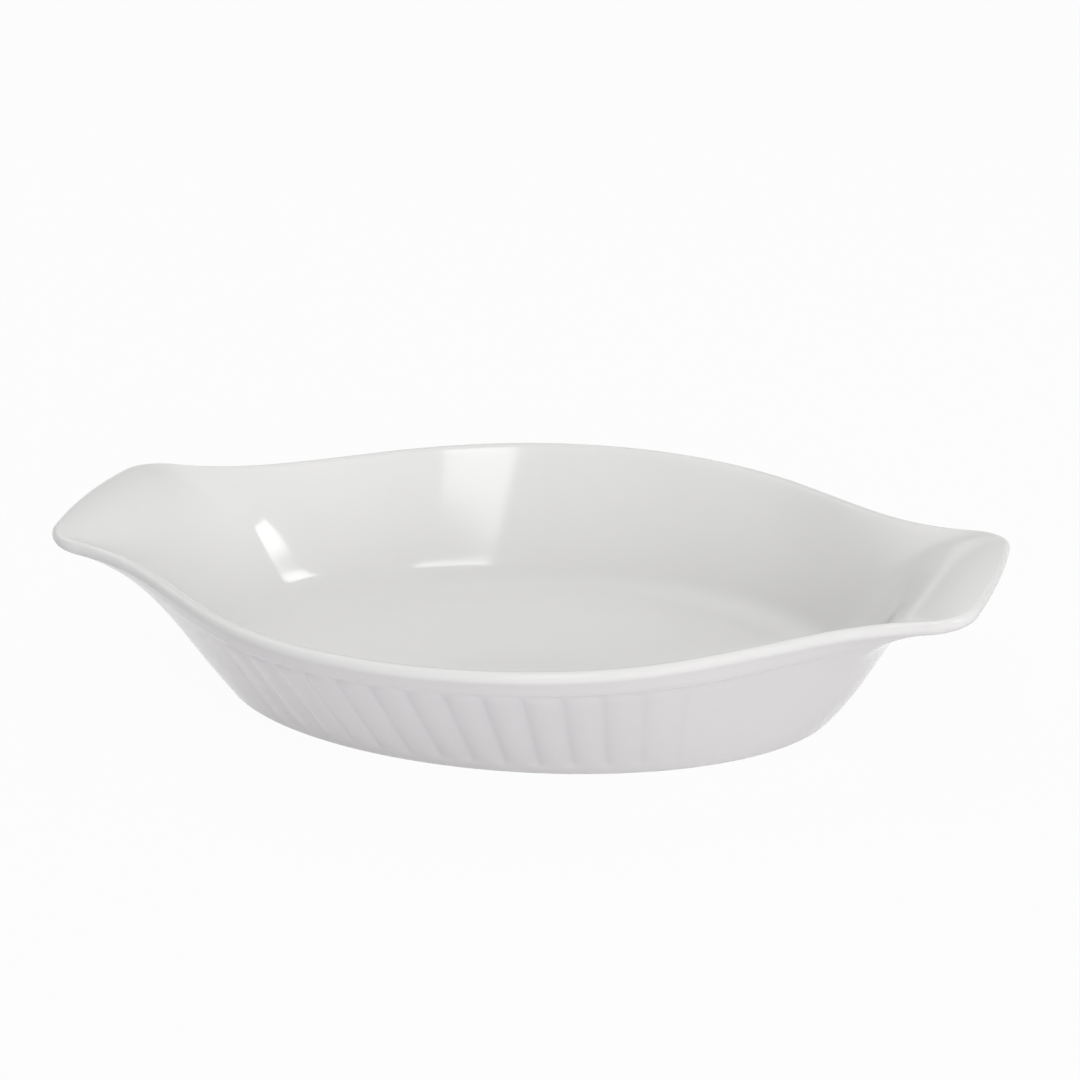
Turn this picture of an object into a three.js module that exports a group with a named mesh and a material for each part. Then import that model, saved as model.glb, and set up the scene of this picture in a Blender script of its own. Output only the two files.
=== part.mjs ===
// Oval ceramic baking dish with two flared ears and ribs along both long sides.
// Millimetres, +Z up, +X through the ears, origin on the table under the middle of the foot.
import * as THREE from "three";

// Plan of the bowl
const bowlLength = 216; // rim oval along X, without the ears
const bowlWidth = 176; // rim oval along Y
const endSpread = 14; // how far the wall leans out from foot to rim at the ends of the oval
const sideSpread = 29.3; // the same in the middle of a long side

// Plan of the ears
const earLength = 32; // past the rim oval, at each end
const earWidth = 69.5;
const earCorner = 11.5; // radius of the ear's two corners
const earTipRadius = 215; // the bow of the edge between them
const earBlend = 34.5; // how softly the ear's sides run into the oval

// Heights of the rim
const sideHeight = 43.8; // in the middle of a long side
const earRise = 5.4; // tip of the ear above that
const cornerDroop = 1.4; // corners of the ear below its tip
const climbPower = 2.55; // a higher power keeps the rim level for longer before it climbs

// Section of the wall
const wall = 4;
const earFootLean = 41.5; // degrees from upright where the wall under an ear leaves the foot
const earTipSlope = -6; // degrees from level at the tip of the ear, which turns down a little
const flarePower = 7; // a higher power keeps the wall straight for longer before it flares
const handleShare = 0.4; // Bezier handles of the section, as a share of its chord

// Floor and foot
const baseThickness = 5.5;
const floorFillet = 15; // radius between floor and wall
const footRing = 5; // width of the ring that the dish stands on
const footRecess = 1; // height of the base above the table inside the ring

// Plain band below the rim
const bandHeight = 7; // along the wall, up to where the rim turns over
const bandStep = 1.5; // the step at the lower edge of the band
const bandProud = 0.4; // over the backs of the ribs

// Ribs
const ribPitch = 9.2; // along the foot
const ribHeight = 0.9; // over the grooves between them
const ribFoot = 2.5; // plain wall below the ribs
const ribRunOut = 3; // length over which a groove runs out at the foot, and a rib ends under the band
const ribPlain = 40; // plain stretch to each side of an ear, along the foot
const ribFade = 25; // length over which the ribs grow to full height beside it

// Facets and accuracy
const columnsPerRib = 5;
const columnsPerEnd = 48;
const footSteps = 2;
const rimSteps = 4;
const innerSteps = 5;
const filletSteps = 3;
const halvings = 40;
const footDivisions = 2000;

const half = wall / 2;
const floorHeight = footRecess + baseThickness;

// Plan lines run along the middle of the wall's thickness.
const rimA = bowlLength / 2 - half;
const rimB = bowlWidth / 2 - half;
const footA = rimA - endSpread;
const footB = rimB - sideSpread;
const tip = rimA + earLength;
const earHalf = earWidth / 2 - half;
const corner = earCorner - half;

// The blend swells the outline, so the ear's own rectangle stops short of the tip by as much.
const swell = Math.max(Math.sqrt(earBlend) - Math.sqrt(earLength), 0) ** 2;
const earReach = tip - swell;

// Distance of a point outside the rim oval, negative inside.
function ovalGap(x, y) {
  const ring = Math.hypot(x / rimA, y / rimB);
  const slope = Math.hypot(x / rimA ** 2, y / rimB ** 2);
  return (ring * (ring - 1)) / slope;
}

// Distance outside the ears: one long rectangle with round corners and bowed ends.
function earGap(x, y) {
  const bow = y ** 2 / (2 * earTipRadius);
  const along = Math.abs(x) + bow - (earReach - corner);
  const across = Math.abs(y) - (earHalf - corner);
  const past = Math.hypot(Math.max(along, 0), Math.max(across, 0));
  return past + Math.min(Math.max(along, across), 0) - corner;
}

// The rim's outline in plan is where this is zero: oval and ears run together.
function rimGap(x, y) {
  const oval = ovalGap(x, y);
  const ear = earGap(x, y);
  const share = THREE.MathUtils.clamp(0.5 + (ear - oval) / (2 * earBlend), 0, 1);
  return THREE.MathUtils.lerp(ear, oval, share) - earBlend * share * (1 - share);
}

// Where inside() stops being true between low and high, by halving the stretch again and again.
function edgeBetween(low, high, inside) {
  for (let step = 0; step < halvings; step++) {
    const middle = (low + high) / 2;
    if (inside(middle)) low = middle;
    else high = middle;
  }
  return (low + high) / 2;
}

// The foot's oval, measured by length from the middle of one long side.
const foot = new THREE.EllipseCurve(0, 0, footA, footB, Math.PI / 2, 2.5 * Math.PI);
foot.arcLengthDivisions = footDivisions;
const footAround = foot.getLength();
const footQuarter = footAround / 4;

const ribsPerSide = 2 * Math.floor((footQuarter - ribPlain) / ribPitch);
const ribbedHalf = (ribsPerSide * ribPitch) / 2;

// Distance along the foot to the middle of the nearer long side.
function fromSideMiddle(arc) {
  const turn = 2 * footQuarter;
  return arc - turn * Math.round(arc / turn);
}

// How much of the ribbed wall shows at this place: 1 along the side, 0 under an ear.
function ribbedShare(arc) {
  const inside = ribbedHalf - Math.abs(fromSideMiddle(arc));
  return THREE.MathUtils.smoothstep(inside, 0, ribFade);
}

// Height of the ribs here as a share: round across, with sharp grooves between.
// A rib stands in the middle of each side.
function ribRise(arc) {
  const ribs = fromSideMiddle(arc) / ribPitch;
  return 1 - (2 * (ribs - Math.round(ribs))) ** 2;
}

// Upright section square to the foot: its place, its direction, and the wall's middle line.
function sectionAt(arc) {
  const spot = foot.getPointAt(arc / footAround);
  const out = new THREE.Vector2(spot.x / footA ** 2, spot.y / footB ** 2).normalize();
  const at = (d) => spot.clone().addScaledVector(out, d);
  const reach = edgeBetween(0, tip, (d) => rimGap(at(d).x, at(d).y) < 0);
  const rim = at(reach);

  const toTip = Math.abs(rim.x) / tip;
  const droop = cornerDroop * (rim.y / earHalf) ** 2;
  const rimHeight = sideHeight + (earRise - droop) * toTip ** climbPower - half;

  // Straight along the sides, and flared to a nearly level ear at the tips.
  const start = new THREE.Vector2(0, half);
  const end = new THREE.Vector2(reach, rimHeight);
  const chord = end.clone().sub(start);
  const steep = chord.angle();
  const flare = toTip ** flarePower;
  const earSteep = THREE.MathUtils.degToRad(90 - earFootLean);
  const tipSlope = THREE.MathUtils.degToRad(earTipSlope);
  const startAngle = THREE.MathUtils.lerp(steep, earSteep, flare);
  const endAngle = THREE.MathUtils.lerp(steep, tipSlope, flare);
  const handle = (angle) =>
    new THREE.Vector2(Math.cos(angle), Math.sin(angle)).multiplyScalar(chord.length() * handleShare);
  const middle = new THREE.CubicBezierCurve(
    start,
    start.clone().add(handle(startAngle)),
    end.clone().sub(handle(endAngle)),
    end,
  );
  return { arc, at, middle };
}

// A point off the wall's middle line, by a distance towards the outside.
function besideWall(middle, share, by) {
  const point = middle.getPointAt(share);
  const along = middle.getTangentAt(share);
  return new THREE.Vector2(point.x + along.y * by, point.y - along.x * by);
}

// Points from one angle to another round a centre, without the first and the last.
function arcBetween(centre, radius, from, to, steps) {
  return Array.from({ length: steps - 1 }, (_, i) => {
    const angle = THREE.MathUtils.lerp(from, to, (i + 1) / steps);
    const reach = new THREE.Vector2(Math.cos(angle), Math.sin(angle));
    return centre.clone().addScaledVector(reach, radius);
  });
}

// Outside of the wall from foot to rim, with the ribs and the band.
function outerWall({ arc, middle }) {
  const length = middle.getLength();
  const bandFoot = length - bandHeight;
  const shown = ribbedShare(arc);
  const groove = -ribHeight * shown;
  const rib = groove * (1 - ribRise(arc));
  const ribbed = [
    { up: 0, by: 0 },
    { up: ribFoot, by: 0 },
    { up: ribFoot + ribRunOut, by: rib },
    { up: (ribFoot + bandFoot) / 2, by: rib },
    { up: bandFoot - ribRunOut, by: rib },
    { up: bandFoot, by: groove },
    { up: bandFoot + bandStep, by: bandProud * shown },
    { up: length, by: 0 },
  ];
  return ribbed.map(({ up, by }, i) => {
    const even = i / (ribbed.length - 1);
    const share = THREE.MathUtils.lerp(even, up / length, shown);
    return besideWall(middle, share, half + by);
  });
}

// Inside of the wall from rim to floor, with the fillet between them.
function innerWall({ middle }) {
  const filletGap = (share) => {
    const run = middle.getTangentAt(share).x;
    return besideWall(middle, share, -half).y - floorHeight - floorFillet * (1 - run);
  };
  const wallFoot = edgeBetween(0, 1, (share) => filletGap(share) < 0);
  const wallPoints = Array.from({ length: innerSteps + 1 }, (_, i) =>
    besideWall(middle, THREE.MathUtils.lerp(1, wallFoot, i / innerSteps), -half),
  );
  const centre = besideWall(middle, wallFoot, -half - floorFillet);
  const steep = middle.getTangentAt(wallFoot).angle();
  const down = -Math.PI / 2;
  const fillet = arcBetween(centre, floorFillet, down + steep, down, filletSteps);
  const floorEdge = new THREE.Vector2(centre.x, floorHeight);
  return [...wallPoints, ...fillet, floorEdge];
}

// The whole section as one line, from under the base round the rim to the floor.
function sectionLine(section) {
  const { middle } = section;
  const down = -Math.PI / 2;
  const footSteep = middle.getTangentAt(0).angle();
  const rimSteep = middle.getTangentAt(1).angle();
  const rimTurn = rimSteep > Math.PI ? rimSteep - 2 * Math.PI : rimSteep;
  return [
    new THREE.Vector2(-footRing - footRecess, footRecess),
    new THREE.Vector2(-footRing, 0),
    new THREE.Vector2(0, 0),
    ...arcBetween(middle.getPointAt(0), half, down, down + footSteep, footSteps),
    ...outerWall(section),
    ...arcBetween(middle.getPointAt(1), half, down + rimTurn, rimTurn - down, rimSteps),
    ...innerWall(section),
  ];
}

// Places of the sections round the foot: a whole number to each rib, and even steps under the ears.
function sectionArcs() {
  const sideColumns = ribsPerSide * columnsPerRib;
  const sideStep = ribPitch / columnsPerRib;
  const endStep = (2 * (footQuarter - ribbedHalf)) / columnsPerEnd;
  const side = Array.from({ length: sideColumns }, (_, i) => (i + 0.5) * sideStep - ribbedHalf);
  const end = Array.from({ length: columnsPerEnd }, (_, i) => (i + 0.5) * endStep + ribbedHalf);
  const halfRound = [...side, ...end];
  return [...halfRound, ...halfRound.map((arc) => arc + 2 * footQuarter)].map(
    (arc) => (arc + footAround) % footAround,
  );
}

// Skin over the section lines, closed by the flat underside and the flat floor.
function loft(sections) {
  const lines = sections.map((section) =>
    sectionLine(section).map(({ x, y }) => {
      const plan = section.at(x);
      return [plan.x, plan.y, y];
    }),
  );
  const rows = lines[0].length;
  const under = lines.length * rows;
  const over = under + 1;
  const positions = [...lines.flat(), [0, 0, footRecess], [0, 0, floorHeight]];

  const faces = lines.flatMap((_, column) => {
    const here = column * rows;
    const next = ((column + 1) % lines.length) * rows;
    const strip = [
      [under, next, here],
      [here + rows - 1, next + rows - 1, over],
    ];
    for (let row = 0; row < rows - 1; row++) {
      strip.push([here + row, next + row, next + row + 1]);
      strip.push([here + row, next + row + 1, here + row + 1]);
    }
    return strip;
  });

  const geometry = new THREE.BufferGeometry();
  geometry.setAttribute("position", new THREE.Float32BufferAttribute(positions.flat(), 3));
  geometry.setIndex(faces.flat());
  geometry.computeVertexNormals();
  return geometry;
}

const whiteGlaze = new THREE.MeshStandardMaterial({ color: 0xe6e2e4, roughness: 0.12, metalness: 0 });

const dish = new THREE.Mesh(loft(sectionArcs().map(sectionAt)), whiteGlaze);
dish.name = "dish";

const part = new THREE.Group();
part.add(dish);

export default part;
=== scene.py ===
import math

import bpy
import numpy as np
from mathutils import Matrix, Vector


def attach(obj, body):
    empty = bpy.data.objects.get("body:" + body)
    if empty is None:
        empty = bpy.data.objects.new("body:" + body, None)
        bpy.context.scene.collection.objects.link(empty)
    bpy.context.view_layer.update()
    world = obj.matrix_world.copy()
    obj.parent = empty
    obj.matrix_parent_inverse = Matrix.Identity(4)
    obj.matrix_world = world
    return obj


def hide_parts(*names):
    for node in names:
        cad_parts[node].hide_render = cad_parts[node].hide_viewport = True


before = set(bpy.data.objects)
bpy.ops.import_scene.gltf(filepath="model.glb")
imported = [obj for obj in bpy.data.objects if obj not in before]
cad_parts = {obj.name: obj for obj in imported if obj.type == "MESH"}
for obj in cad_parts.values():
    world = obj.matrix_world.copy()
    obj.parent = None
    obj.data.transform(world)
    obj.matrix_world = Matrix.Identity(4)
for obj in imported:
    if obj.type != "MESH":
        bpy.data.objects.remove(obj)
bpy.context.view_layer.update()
mm = 0.001
print("frame loaded with", sorted(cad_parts))


# small helpers

def smoothStep(low, high, value):
    t = np.clip((value - low) / (high - low), 0, 1)
    return t * t * (3 - 2 * t)


def mixed(a, b, share):
    return a + (b - a) * share


def fromHex(code):
    channels = [int(code[i:i + 2], 16) / 255 for i in (1, 3, 5)]
    linear = [c / 12.92 if c <= 0.04045 else ((c + 0.055) / 1.055) ** 2.4 for c in channels]
    return (*linear, 1)


def addNode(tree, kind, settings=None, links=None):
    node = tree.nodes.new(kind)
    for name, value in (settings or {}).items():
        if isinstance(name, int) or name in node.inputs:  # numbers are sockets that share a name
            node.inputs[name].default_value = value
        else:
            setattr(node, name, value)
    for name, source in (links or {}).items():
        tree.links.new(source, node.inputs[name])
    return node


def emptyMaterial(name):
    material = bpy.data.materials.new(name)
    material.use_nodes = True
    material.node_tree.nodes.clear()
    return material, material.node_tree


def fromDirection(azimuth, elevation):
    # azimuth 0 is towards the near long side, 90 towards the right ear
    a, e = math.radians(azimuth), math.radians(elevation)
    return Vector((math.sin(a) * math.cos(e), -math.cos(a) * math.cos(e), math.sin(e)))


# the dish: one fired piece, lengths in mm and angles in degrees

dishSizes = {
    "bowlLength": 216, "bowlWidth": 176,  # rim oval, without the ears
    "endSpread": 14, "sideSpread": 29.3,  # how far the wall leans out from foot to rim
    "earLength": 32, "earWidth": 69.5, "earCorner": 11.5, "earTipRadius": 215, "earBlend": 34.5,
    "sideHeight": 43.8, "earRise": 5.4, "cornerDroop": 1.4, "climbPower": 2.55,  # the rim's line
    "wall": 4, "earFootLean": 41.5, "earTipSlope": -6, "flarePower": 7, "handleShare": 0.4,
    "baseThickness": 5.5, "floorFillet": 15,
    "footRing": 5, "footRecess": 1,
    "footEdge": 0.5, "footEase": (0.3, 0.6, 0.4, 0.05),  # inner edges, eased by shares of their size
    "bandHeight": 7, "bandStep": 1.5, "bandProud": 0.4,  # plain band below the rim
    "bandReach": 104, "bandFade": 22,  # it runs on past the ribs, nearly to the ears
    "ribPitch": 9.2, "ribHeight": 0.9, "ribFoot": 2.5, "ribRunOut": 3, "ribGap": 0.6,
    "ribPlain": 40, "ribFade": 50,  # no ribs near the ears, and a slow fade towards them
    "grooveFill": 0.25,  # how softly glaze rounds the bottoms of the grooves
    "neckSoft": 8, "neckPower": 3,  # how widely the wall flows round into an ear, and how far up
    # fineness of the mesh
    "columnsPerRib": 16, "columnsPerEnd": 208,
    "outerRows": (2, 5, 6, 7, 1, 5, 5), "innerRows": 16,
    "footTurnRows": 7, "rimTurnRows": 14, "filletRows": 10,
    "baseRings": (0.25, 0.7), "floorRings": (0.92, 0.7, 0.35),  # shares of the way out from the middle
    "ovalSteps": 4000, "lineSteps": 240, "halvings": 40, "mergeWithin": 0.01,
}

wall = dishSizes["wall"]
half = wall / 2
floorHeight = dishSizes["footRecess"] + dishSizes["baseThickness"]

# plan lines run along the middle of the wall
rimA = dishSizes["bowlLength"] / 2 - half
rimB = dishSizes["bowlWidth"] / 2 - half
footA = rimA - dishSizes["endSpread"]
footB = rimB - dishSizes["sideSpread"]
tip = rimA + dishSizes["earLength"]
earHalf = dishSizes["earWidth"] / 2 - half
corner = dishSizes["earCorner"] - half
earBlend = dishSizes["earBlend"]
earReach = tip - max(math.sqrt(earBlend) - math.sqrt(dishSizes["earLength"]), 0) ** 2

# the foot oval, measured by length from the middle of the far long side
footTurns = np.linspace(0.25, 1.25, dishSizes["ovalSteps"] + 1) * 2 * math.pi
footSteps = np.hypot(np.diff(footA * np.cos(footTurns)), np.diff(footB * np.sin(footTurns)))
footLengths = np.concatenate([[0], np.cumsum(footSteps)])
footAround = footLengths[-1]
footQuarter = footAround / 4
ribPitch = dishSizes["ribPitch"]
ribsPerSide = 2 * int((footQuarter - dishSizes["ribPlain"]) / ribPitch)
ribbedHalf = ribsPerSide * ribPitch / 2
endStep = 2 * (footQuarter - ribbedHalf) / dishSizes["columnsPerEnd"]


def ovalGap(x, y):
    ring = math.hypot(x / rimA, y / rimB)
    return ring * (ring - 1) / math.hypot(x / rimA ** 2, y / rimB ** 2)


def earGap(x, y):
    bow = y ** 2 / (2 * dishSizes["earTipRadius"])
    along = abs(x) + bow - (earReach - corner)
    across = abs(y) - (earHalf - corner)
    return math.hypot(max(along, 0), max(across, 0)) + min(max(along, across), 0) - corner


def rimGap(x, y):
    # oval and ears run together softly, and the rim is where this is zero
    oval = ovalGap(x, y)
    ear = earGap(x, y)
    share = min(max(0.5 + (ear - oval) / (2 * earBlend), 0), 1)
    return mixed(ear, oval, share) - earBlend * share * (1 - share)


def edgeBetween(low, high, inside):
    for _ in range(dishSizes["halvings"]):
        middle = (low + high) / 2
        if inside(middle):
            low = middle
        else:
            high = middle
    return (low + high) / 2


def fromSideMiddle(arc):
    turn = 2 * footQuarter
    return arc - turn * round(arc / turn)


def sectionAt(arc):
    # an upright cut square to the foot, with the wall's middle line in it
    turn = np.interp(arc % footAround, footLengths, footTurns)
    spot = np.array([footA * math.cos(turn), footB * math.sin(turn)])
    out = spot / np.array([footA ** 2, footB ** 2])
    out /= np.linalg.norm(out)
    reach = edgeBetween(0, tip, lambda d: rimGap(*(spot + out * d)) < 0)
    rimX, rimY = spot + out * reach
    toTip = abs(rimX) / tip
    droop = dishSizes["cornerDroop"] * (rimY / earHalf) ** 2
    climb = (dishSizes["earRise"] - droop) * toTip ** dishSizes["climbPower"]
    start = np.array([0, half])
    end = np.array([reach, dishSizes["sideHeight"] + climb - half])

    # straight along the sides, and flared to a nearly level ear at the tips
    chord = end - start
    steep = math.atan2(chord[1], chord[0])
    flare = toTip ** dishSizes["flarePower"]
    handle = np.linalg.norm(chord) * dishSizes["handleShare"]
    startAngle = mixed(steep, math.radians(90 - dishSizes["earFootLean"]), flare)
    endAngle = mixed(steep, math.radians(dishSizes["earTipSlope"]), flare)
    startHandle = start + handle * np.array([math.cos(startAngle), math.sin(startAngle)])
    endHandle = end - handle * np.array([math.cos(endAngle), math.sin(endAngle)])

    t = np.linspace(0, 1, dishSizes["lineSteps"] + 1)[:, None]
    line = ((1 - t) ** 3 * start + 3 * (1 - t) ** 2 * t * startHandle
            + 3 * (1 - t) * t ** 2 * endHandle + t ** 3 * end)
    fromMiddle = abs(fromSideMiddle(arc))
    ribs = smoothStep(0, dishSizes["ribFade"], ribbedHalf - fromMiddle)
    band = smoothStep(0, dishSizes["bandFade"], dishSizes["bandReach"] - fromMiddle)
    return {"arc": arc, "spot": spot, "out": out, "line": line, "ribs": float(ribs), "band": float(band)}


def softenNecks(sections):
    # below the rim the cuts are evened out round the dish, so no crease runs down beside the ears
    lines = np.array([section["line"] for section in sections])
    waves = np.fft.rfftfreq(len(sections))[:, None, None]
    up = np.linspace(0, 1, lines.shape[1])[:, None]
    spread = dishSizes["neckSoft"] / endStep * (1 - up ** dishSizes["neckPower"])
    even = np.fft.rfft(lines, axis=0) * np.exp(-2 * (math.pi * waves * spread) ** 2)
    lines = np.fft.irfft(even, n=len(sections), axis=0)
    for section, line in zip(sections, lines):
        along = np.gradient(line, axis=0)
        steps = np.linalg.norm(np.diff(line, axis=0), axis=1)
        section["line"] = line
        section["along"] = along / np.linalg.norm(along, axis=1)[:, None]
        section["lengths"] = np.concatenate([[0], np.cumsum(steps)])
        section["length"] = section["lengths"][-1]


def besideWall(section, up, by):
    # a point off the wall's middle line, by a distance towards the outside
    x, z = (np.interp(up, section["lengths"], section["line"][:, i]) for i in (0, 1))
    dx, dz = (np.interp(up, section["lengths"], section["along"][:, i]) for i in (0, 1))
    return np.column_stack([x + dz * by, z - dx * by])


def arcRound(centre, radius, fromAngle, toAngle, rows):
    # the points between the two ends of an arc
    angles = np.linspace(fromAngle, toAngle, rows + 1)[1:-1]
    return np.column_stack([centre[0] + radius * np.cos(angles), centre[1] + radius * np.sin(angles)])


def grooveShare(section, up):
    # 1 in the grooves, 0 on the backs of the ribs: round ribs with round upper ends
    ribs = fromSideMiddle(section["arc"]) / ribPitch
    across = abs(2 * (ribs - round(ribs)))
    here, beyond = across ** 2, (2 - across) ** 2
    fill = dishSizes["grooveFill"]
    blend = max(fill - abs(here - beyond), 0) / fill
    low = min(here, beyond) - blend ** 2 * fill / 4
    ribTop = section["length"] - dishSizes["bandHeight"] - dishSizes["ribGap"]
    ending = np.clip((up - ribTop) / dishSizes["ribRunOut"] + 1, 0, 1)
    starting = smoothStep(0, dishSizes["ribRunOut"], up - dishSizes["ribFoot"])
    return np.minimum(low + ending ** 2, 1) * starting


def outerWall(section):
    length = section["length"]
    ribFoot, runOut = dishSizes["ribFoot"], dishSizes["ribRunOut"]
    bandFoot = length - dishSizes["bandHeight"]
    bandTop = bandFoot + dishSizes["bandStep"]
    ribTop = bandFoot - dishSizes["ribGap"]
    # rows stand close together where the surface turns
    stops = (0, ribFoot, ribFoot + runOut, ribTop - runOut, ribTop, bandFoot, bandTop, length)
    runs = [np.linspace(low, high, rows, endpoint=False)
            for low, high, rows in zip(stops, stops[1:], dishSizes["outerRows"])]
    ribbed = np.concatenate([*runs, [length]])
    even = np.linspace(0, length, len(ribbed))
    up = mixed(even, ribbed, section["band"])
    groove = -dishSizes["ribHeight"] * grooveShare(section, up) * section["ribs"]
    stepUp = smoothStep(bandFoot, bandTop, up)
    band = dishSizes["bandProud"] * (1 - smoothStep(bandTop, length, up)) * section["band"]
    by = mixed(groove, band, stepUp)
    # the deeper a point lies in a groove, the darker its glaze: partly glaze pooled thick there, partly
    # painted shade in the groove
    poolAndShade = np.clip(-by / dishSizes["ribHeight"], 0, 1)
    return besideWall(section, up, half + by), poolAndShade


def innerWall(section):
    fillet = dishSizes["floorFillet"]

    def filletGap(up):
        run = np.interp(up, section["lengths"], section["along"][:, 0])
        return besideWall(section, up, -half)[0][1] - floorHeight - fillet * (1 - run)

    wallFoot = edgeBetween(0, section["length"], lambda up: filletGap(up) < 0)
    rows = np.linspace(section["length"], wallFoot, dishSizes["innerRows"] + 1)
    wallPoints = besideWall(section, rows, -half)
    centre = besideWall(section, wallFoot, -half - fillet)[0]
    run, rise = (np.interp(wallFoot, section["lengths"], section["along"][:, i]) for i in (0, 1))
    down = -math.pi / 2
    turn = arcRound(centre, fillet, down + math.atan2(rise, run), down, dishSizes["filletRows"])
    return np.vstack([wallPoints, turn, [[centre[0], floorHeight]]])


def sectionLine(section):
    # the whole cut from the base, round foot and rim, to the edge of the floor
    ring, recess, edge = (dishSizes[name] for name in ("footRing", "footRecess", "footEdge"))
    easeTop, easeOut, easeUp, easeLow = (edge * share for share in dishSizes["footEase"])
    under = np.array([
        [-ring - recess - edge, recess], [-ring - recess, recess - easeTop],
        [-ring - easeOut, easeUp], [-ring, easeLow], [-ring + edge, 0], [-ring / 2, 0], [0, 0],
    ])
    down = -math.pi / 2
    footSteep = math.atan2(section["along"][0][1], section["along"][0][0])
    rimSteep = math.atan2(section["along"][-1][1], section["along"][-1][0])
    footTurn = arcRound(section["line"][0], half, down, down + footSteep, dishSizes["footTurnRows"])
    outside, poolAndShade = outerWall(section)
    rimTurn = arcRound(section["line"][-1], half, down + rimSteep, rimSteep - down,
                       dishSizes["rimTurnRows"])
    inside = innerWall(section)
    points = np.vstack([under, footTurn, outside, rimTurn, inside])
    poolsAndShade = np.concatenate([np.zeros(len(under) + len(footTurn)), poolAndShade,
                            np.zeros(len(rimTurn) + len(inside))])
    bare = np.concatenate([under[:, 1] < recess / 2, np.zeros(len(points) - len(under))])
    return points, poolsAndShade, bare


def columnArcs():
    perRib = dishSizes["columnsPerRib"]
    side = np.arange(ribsPerSide * perRib) * ribPitch / perRib - ribbedHalf
    end = np.arange(dishSizes["columnsPerEnd"]) * endStep + ribbedHalf
    halfRound = np.concatenate([side, end])
    return np.concatenate([halfRound, halfRound + 2 * footQuarter])


def throwDish():
    sections = [sectionAt(arc) for arc in columnArcs()]
    softenNecks(sections)
    columns, poolsAndShade, bares = [], [], []
    for section in sections:
        points, poolAndShade, bare = sectionLine(section)
        plan = section["spot"] + points[:, :1] * section["out"]
        ring = np.column_stack([plan, points[:, 1]])
        base = [[*(plan[0] * s), dishSizes["footRecess"]] for s in (0, *dishSizes["baseRings"])]
        floor = [[*(plan[-1] * s), floorHeight] for s in (*dishSizes["floorRings"], 0)]
        columns.append(np.vstack([base, ring, floor]) * mm)
        poolsAndShade.append(np.concatenate([np.zeros(len(base)), poolAndShade, np.zeros(len(floor))]))
        bares.append(np.concatenate([np.zeros(len(base)), bare, np.zeros(len(floor))]))
    columns, poolsAndShade, bares = np.array(columns), np.array(poolsAndShade), np.array(bares)
    rows = columns.shape[1]

    # a plain tube of rings first, one ring for each row of the cut
    bpy.ops.object.select_all(action="DESELECT")
    bpy.ops.mesh.primitive_circle_add(vertices=len(sections), radius=1, fill_type="NOTHING")
    piece = bpy.context.object
    piece.name = piece.data.name = "glazed_dish"
    bpy.ops.object.mode_set(mode="EDIT")
    bpy.ops.mesh.select_all(action="SELECT")
    for _ in range(rows - 1):
        bpy.ops.mesh.extrude_region_move(TRANSFORM_OT_translate={"value": (0, 0, 1)})
    bpy.ops.object.mode_set(mode="OBJECT")

    # then every ring is thrown out to its place on the cuts
    tube = np.empty(len(piece.data.vertices) * 3)
    piece.data.vertices.foreach_get("co", tube)
    tube = tube.reshape(-1, 3)
    turn = np.arctan2(tube[:, 1], tube[:, 0]) / (2 * math.pi) * len(sections)
    column = np.rint(turn - turn[0]).astype(int) % len(sections)
    row = np.rint(tube[:, 2]).astype(int)
    piece.data.vertices.foreach_set("co", columns[column, row].ravel())
    # the groove share darkens the glaze colour, as pooled glaze and as painted shade in the grooves
    for name, values in (("glazePoolAndShade", poolsAndShade), ("bareFoot", bares)):
        attribute = piece.data.attributes.new(name, "FLOAT", "POINT")
        attribute.data.foreach_set("value", values[column, row].astype(np.float32))

    # the two ends close at the middle of the base and of the floor
    bpy.ops.object.mode_set(mode="EDIT")
    bpy.ops.mesh.select_all(action="SELECT")
    bpy.ops.mesh.remove_doubles(threshold=dishSizes["mergeWithin"] * mm)
    bpy.ops.mesh.normals_make_consistent(inside=False)
    bpy.ops.object.mode_set(mode="OBJECT")
    bpy.ops.object.shade_smooth()
    return piece


dish = throwDish()
print("dish thrown:", len(dish.data.polygons), "faces")


# materials

glazeLook = {
    # the second colour lies in the grooves: glaze a little deeper there, and painted shade in the
    # grooves as well
    "body": "#eeedec", "pooledAndShaded": "#e9e8e8",  # glaze is a little deeper where it lies thick
    "ior": 1.52, "roughness": (0.05, 0.09),
    "waveSize": 34, "waveHeight": 0.05,  # mm, slow waves left by the flowing glaze
    "waveTone": 0.5,  # how much the waves deepen the colour
    "peelSize": 5, "peelHeight": 0.004,  # mm, faint orange peel
    "waveDetail": 1, "waveGrain": 0.4, "peelDetail": 2,
    "bare": "#ebe4d9", "bareRoughness": 0.65,  # the foot ring is wiped clean of glaze before firing
}


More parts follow.
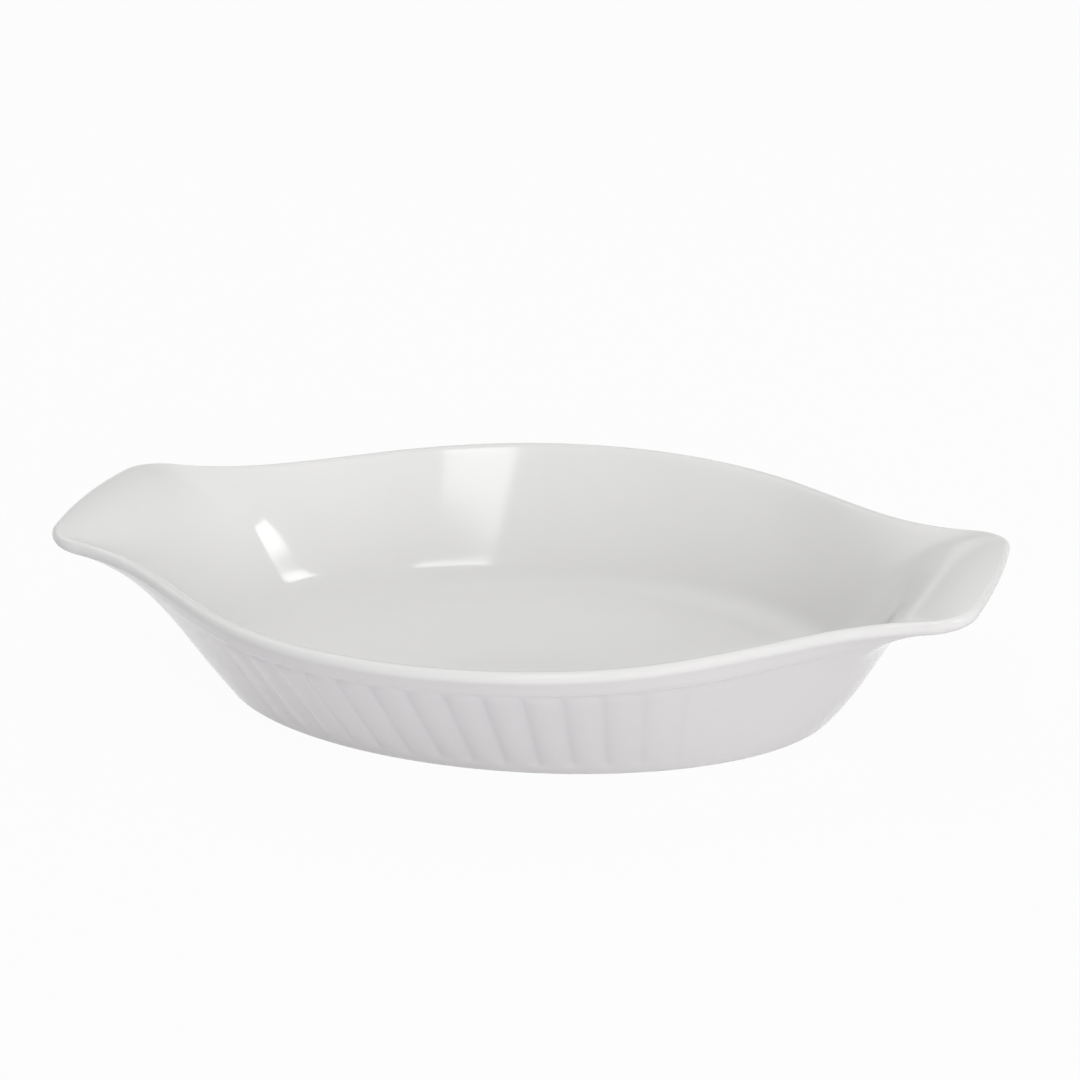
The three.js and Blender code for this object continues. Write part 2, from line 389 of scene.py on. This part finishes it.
def glazedStoneware(look):
    # white glaze melted over a cast body: even, wet-looking gloss with slow waves in the reflections
    material, tree = emptyMaterial("glazed_stoneware_white")
    coords = addNode(tree, "ShaderNodeTexCoord").outputs["Object"]
    wave = addNode(tree, "ShaderNodeTexNoise",
                   {"Scale": 1 / (look["waveSize"] * mm), "Detail": look["waveDetail"],
                    "Roughness": look["waveGrain"]}, {"Vector": coords})
    peel = addNode(tree, "ShaderNodeTexNoise",
                   {"Scale": 1 / (look["peelSize"] * mm), "Detail": look["peelDetail"]},
                   {"Vector": coords})
    waveBump = addNode(tree, "ShaderNodeBump", {"Distance": look["waveHeight"] * mm},
                       {"Height": wave.outputs["Fac"]})
    peelBump = addNode(tree, "ShaderNodeBump", {"Distance": look["peelHeight"] * mm},
                       {"Height": peel.outputs["Fac"], "Normal": waveBump.outputs["Normal"]})
    # the groove share mixes in the darker colour: pooled glaze plus painted shade in the grooves
    poolAndShade = addNode(tree, "ShaderNodeAttribute", {"attribute_name": "glazePoolAndShade"})
    bare = addNode(tree, "ShaderNodeAttribute", {"attribute_name": "bareFoot"})
    thickAndShaded = addNode(tree, "ShaderNodeMath", {"operation": "MULTIPLY_ADD", 1: look["waveTone"]},
                    {0: wave.outputs["Fac"], 2: poolAndShade.outputs["Fac"]})
    glaze = addNode(tree, "ShaderNodeMix",
                    {"data_type": "RGBA", 6: fromHex(look["body"]), 7: fromHex(look["pooledAndShaded"])},
                    {0: thickAndShaded.outputs[0]})
    colour = addNode(tree, "ShaderNodeMix", {"data_type": "RGBA", 7: fromHex(look["bare"])},
                     {0: bare.outputs["Fac"], 6: glaze.outputs[2]})
    gloss = addNode(tree, "ShaderNodeMapRange",
                    {"To Min": look["roughness"][0], "To Max": look["roughness"][1]},
                    {"Value": wave.outputs["Fac"]})
    rough = addNode(tree, "ShaderNodeMix", {"data_type": "FLOAT", 3: look["bareRoughness"]},
                    {0: bare.outputs["Fac"], 2: gloss.outputs["Result"]})
    shader = addNode(tree, "ShaderNodeBsdfPrincipled", {"IOR": look["ior"]},
                     {"Base Color": colour.outputs[2], "Roughness": rough.outputs[0],
                      "Normal": peelBump.outputs["Normal"]})
    addNode(tree, "ShaderNodeOutputMaterial", None, {"Surface": shader.outputs["BSDF"]})
    return material


dish.data.materials.append(glazedStoneware(glazeLook))
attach(dish, "root")
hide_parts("dish")
print("glaze on")


# stage: pale floor, soft light and the camera

stageLook = {
    "floor": "#d0ccd1", "floorSize": 60,  # metres
    "floorWhite": 0.96,  # share of plain white in the floor that is seen
    "world": "#f6f6fb", "worldStrength": 0.2,  # what it sheds on the dish
    "backdrop": "#ffffff",
    "backdropStrength": (0.97, 0.64), "backdropFade": (3, 13),  # greyer from 3 to 13 degrees up
}


def whereSeen(tree):
    # 1 for what the camera sees directly, in a reflection or through glass
    path = addNode(tree, "ShaderNodeLightPath")
    seen = path.outputs["Is Camera Ray"]
    for other in ("Is Glossy Ray", "Is Transmission Ray"):
        seen = addNode(tree, "ShaderNodeMath", {"operation": "MAXIMUM"},
                       {0: seen, 1: path.outputs[other]}).outputs[0]
    return seen


def paleFloor():
    bpy.ops.object.select_all(action="DESELECT")
    bpy.ops.mesh.primitive_plane_add(size=stageLook["floorSize"])
    floor = bpy.context.object
    floor.name = "floor"
    material, tree = emptyMaterial("pale_floor")
    side = addNode(tree, "ShaderNodeNewGeometry")
    diffuse = addNode(tree, "ShaderNodeBsdfDiffuse", {"Color": fromHex(stageLook["floor"])})
    white = addNode(tree, "ShaderNodeEmission")
    share = addNode(tree, "ShaderNodeMath", {"operation": "MULTIPLY", 1: stageLook["floorWhite"]},
                    {0: whereSeen(tree)})
    above = addNode(tree, "ShaderNodeMixShader", None,
                    {0: share.outputs[0], 1: diffuse.outputs[0], 2: white.outputs[0]})
    clear = addNode(tree, "ShaderNodeBsdfTransparent")  # from below the floor is out of the way
    both = addNode(tree, "ShaderNodeMixShader", None,
                   {0: side.outputs["Backfacing"], 1: above.outputs[0], 2: clear.outputs[0]})
    addNode(tree, "ShaderNodeOutputMaterial", None, {"Surface": both.outputs[0]})
    floor.data.materials.append(material)


def whiteWorld():
    world = bpy.data.worlds.new("white_surround")
    world.use_nodes = True
    tree = world.node_tree
    tree.nodes.clear()
    light = addNode(tree, "ShaderNodeBackground",
                    {"Color": fromHex(stageLook["world"]), "Strength": stageLook["worldStrength"]})
    towards = addNode(tree, "ShaderNodeTexCoord").outputs["Generated"]
    height = addNode(tree, "ShaderNodeSeparateXYZ", None, {"Vector": towards})
    low, high = (math.sin(math.radians(angle)) for angle in stageLook["backdropFade"])
    lowStrength, highStrength = stageLook["backdropStrength"]
    paleness = addNode(tree, "ShaderNodeMapRange",
                       {"interpolation_type": "SMOOTHSTEP", "From Min": low, "From Max": high,
                        "To Min": lowStrength, "To Max": highStrength}, {"Value": height.outputs["Z"]})
    backdrop = addNode(tree, "ShaderNodeBackground", {"Color": fromHex(stageLook["backdrop"])},
                       {"Strength": paleness.outputs["Result"]})
    both = addNode(tree, "ShaderNodeMixShader", None,
                   {0: whereSeen(tree), 1: light.outputs[0], 2: backdrop.outputs[0]})
    addNode(tree, "ShaderNodeOutputWorld", None, {"Surface": both.outputs[0]})
    bpy.context.scene.world = world


# azimuth, elevation and turn in degrees, distance and size in metres, power in watts
# the boxes show in the gloss and fade over a share of their size, the fills do neither
fillLamp = {"distance": 1.6, "turn": 0, "tint": "#fefffd", "inGloss": False}
softBox = {**fillLamp, "inGloss": True}
lamps = [
    {**softBox, "name": "sideBox", "azimuth": 69, "elevation": 41, "distance": 1.5, "turn": 3.4,
     "size": (0.33, 0.28), "power": 2.2, "fade": (0.15, 0.15), "lowest": 0.8},
    {**softBox, "name": "frontBox", "azimuth": 14, "elevation": 55.8,
     "size": (0.52, 0.45), "power": 4, "fade": (0.15, 0.25), "lowest": 0.45},
    {**softBox, "name": "leftBox", "azimuth": -103, "elevation": 52,
     "size": (2.4, 2.2), "power": 18, "fade": (0.5, 0.5), "lowest": 1},
    {**fillLamp, "name": "frontFill", "azimuth": 14, "elevation": 56, "size": (0.9, 0.9), "power": 4},
    {**fillLamp, "name": "nearFill", "azimuth": 33, "elevation": 12, "size": (0.9, 0.6), "power": 11.2},
    {**fillLamp, "name": "leftFill", "azimuth": -120, "elevation": 30, "size": (1, 0.8), "power": 2.4},
    {**fillLamp, "name": "rightFill", "azimuth": 125, "elevation": 30, "size": (1, 1), "power": 4.8},
    {**fillLamp, "name": "backFill", "azimuth": 180, "elevation": 60, "size": (1, 0.8), "power": 3.2},
]


def softenBox(data, lamp):
    # the box fades towards its edges, and from its top down to its lowest strength
    data.use_nodes = True
    tree = data.node_tree
    tree.nodes.clear()
    place = addNode(tree, "ShaderNodeNewGeometry").outputs["Parametric"]
    across = addNode(tree, "ShaderNodeSeparateXYZ", None, {"Vector": place})
    strength = addNode(tree, "ShaderNodeMapRange", {"To Min": lamp["lowest"], "To Max": 1},
                       {"Value": across.outputs["Y"]}).outputs["Result"]
    for axis, fade in zip("XY", lamp["fade"]):
        fromFar = addNode(tree, "ShaderNodeMath", {"operation": "SUBTRACT", 0: 1},
                          {1: across.outputs[axis]})
        toEdge = addNode(tree, "ShaderNodeMath", {"operation": "MINIMUM"},
                         {0: across.outputs[axis], 1: fromFar.outputs[0]})
        share = addNode(tree, "ShaderNodeMapRange",
                        {"interpolation_type": "SMOOTHSTEP", "From Max": fade},
                        {"Value": toEdge.outputs[0]})
        strength = addNode(tree, "ShaderNodeMath", {"operation": "MULTIPLY"},
                           {0: strength, 1: share.outputs["Result"]}).outputs[0]
    glow = addNode(tree, "ShaderNodeEmission", None, {"Strength": strength})
    addNode(tree, "ShaderNodeOutputLight", None, {"Surface": glow.outputs[0]})


def hangLamp(lamp):
    data = bpy.data.lights.new(lamp["name"], "AREA")
    data.shape = "RECTANGLE"
    data.size, data.size_y = lamp["size"]
    data.energy = lamp["power"]
    data.color = fromHex(lamp["tint"])[:3]
    if lamp["inGloss"]:
        softenBox(data, lamp)
    obj = bpy.data.objects.new(lamp["name"], data)
    bpy.context.scene.collection.objects.link(obj)
    obj.visible_glossy = lamp["inGloss"]
    towards = fromDirection(lamp["azimuth"], lamp["elevation"])
    facing = towards.to_track_quat("Z", "Y").to_matrix().to_4x4()
    turn = Matrix.Rotation(math.radians(lamp["turn"]), 4, "Z")
    obj.matrix_world = Matrix.Translation(towards * lamp["distance"]) @ facing @ turn


cameraSettings = {
    "azimuth": 19.92, "elevation": 23.59, "roll": -2.67,  # degrees
    "distance": 838.8, "middle": (0, 0, 20),  # mm, measured from this point in the dish
    "aimRight": 4.88, "aimUp": 23.89,  # mm, the picture's centre as seen from that point
    "lens": 95.08, "sensor": 36, "clipStart": 10,  # mm
}


def placeCamera():
    data = bpy.data.cameras.new("camera")
    data.lens = cameraSettings["lens"]
    data.sensor_width = cameraSettings["sensor"]
    data.clip_start = cameraSettings["clipStart"] * mm
    camera = bpy.data.objects.new("camera", data)
    bpy.context.scene.collection.objects.link(camera)
    back = fromDirection(cameraSettings["azimuth"], cameraSettings["elevation"])
    level = Vector((0, 0, 1)).cross(back).normalized()
    upright = back.cross(level)
    roll = math.radians(cameraSettings["roll"])
    right = level * math.cos(roll) + upright * math.sin(roll)
    up = upright * math.cos(roll) - level * math.sin(roll)
    middle = Vector(cameraSettings["middle"]) * mm
    place = middle + back * cameraSettings["distance"] * mm
    aim = middle + (right * cameraSettings["aimRight"] + up * cameraSettings["aimUp"]) * mm
    back = (place - aim).normalized()
    right = up.cross(back).normalized()
    up = back.cross(right)
    camera.matrix_world = Matrix.Translation(place) @ Matrix((right, up, back)).transposed().to_4x4()
    bpy.context.scene.camera = camera


paleFloor()
whiteWorld()
for lamp in lamps:
    hangLamp(lamp)
placeCamera()
bpy.context.scene.view_settings.view_transform = "Standard"
print("stage set")
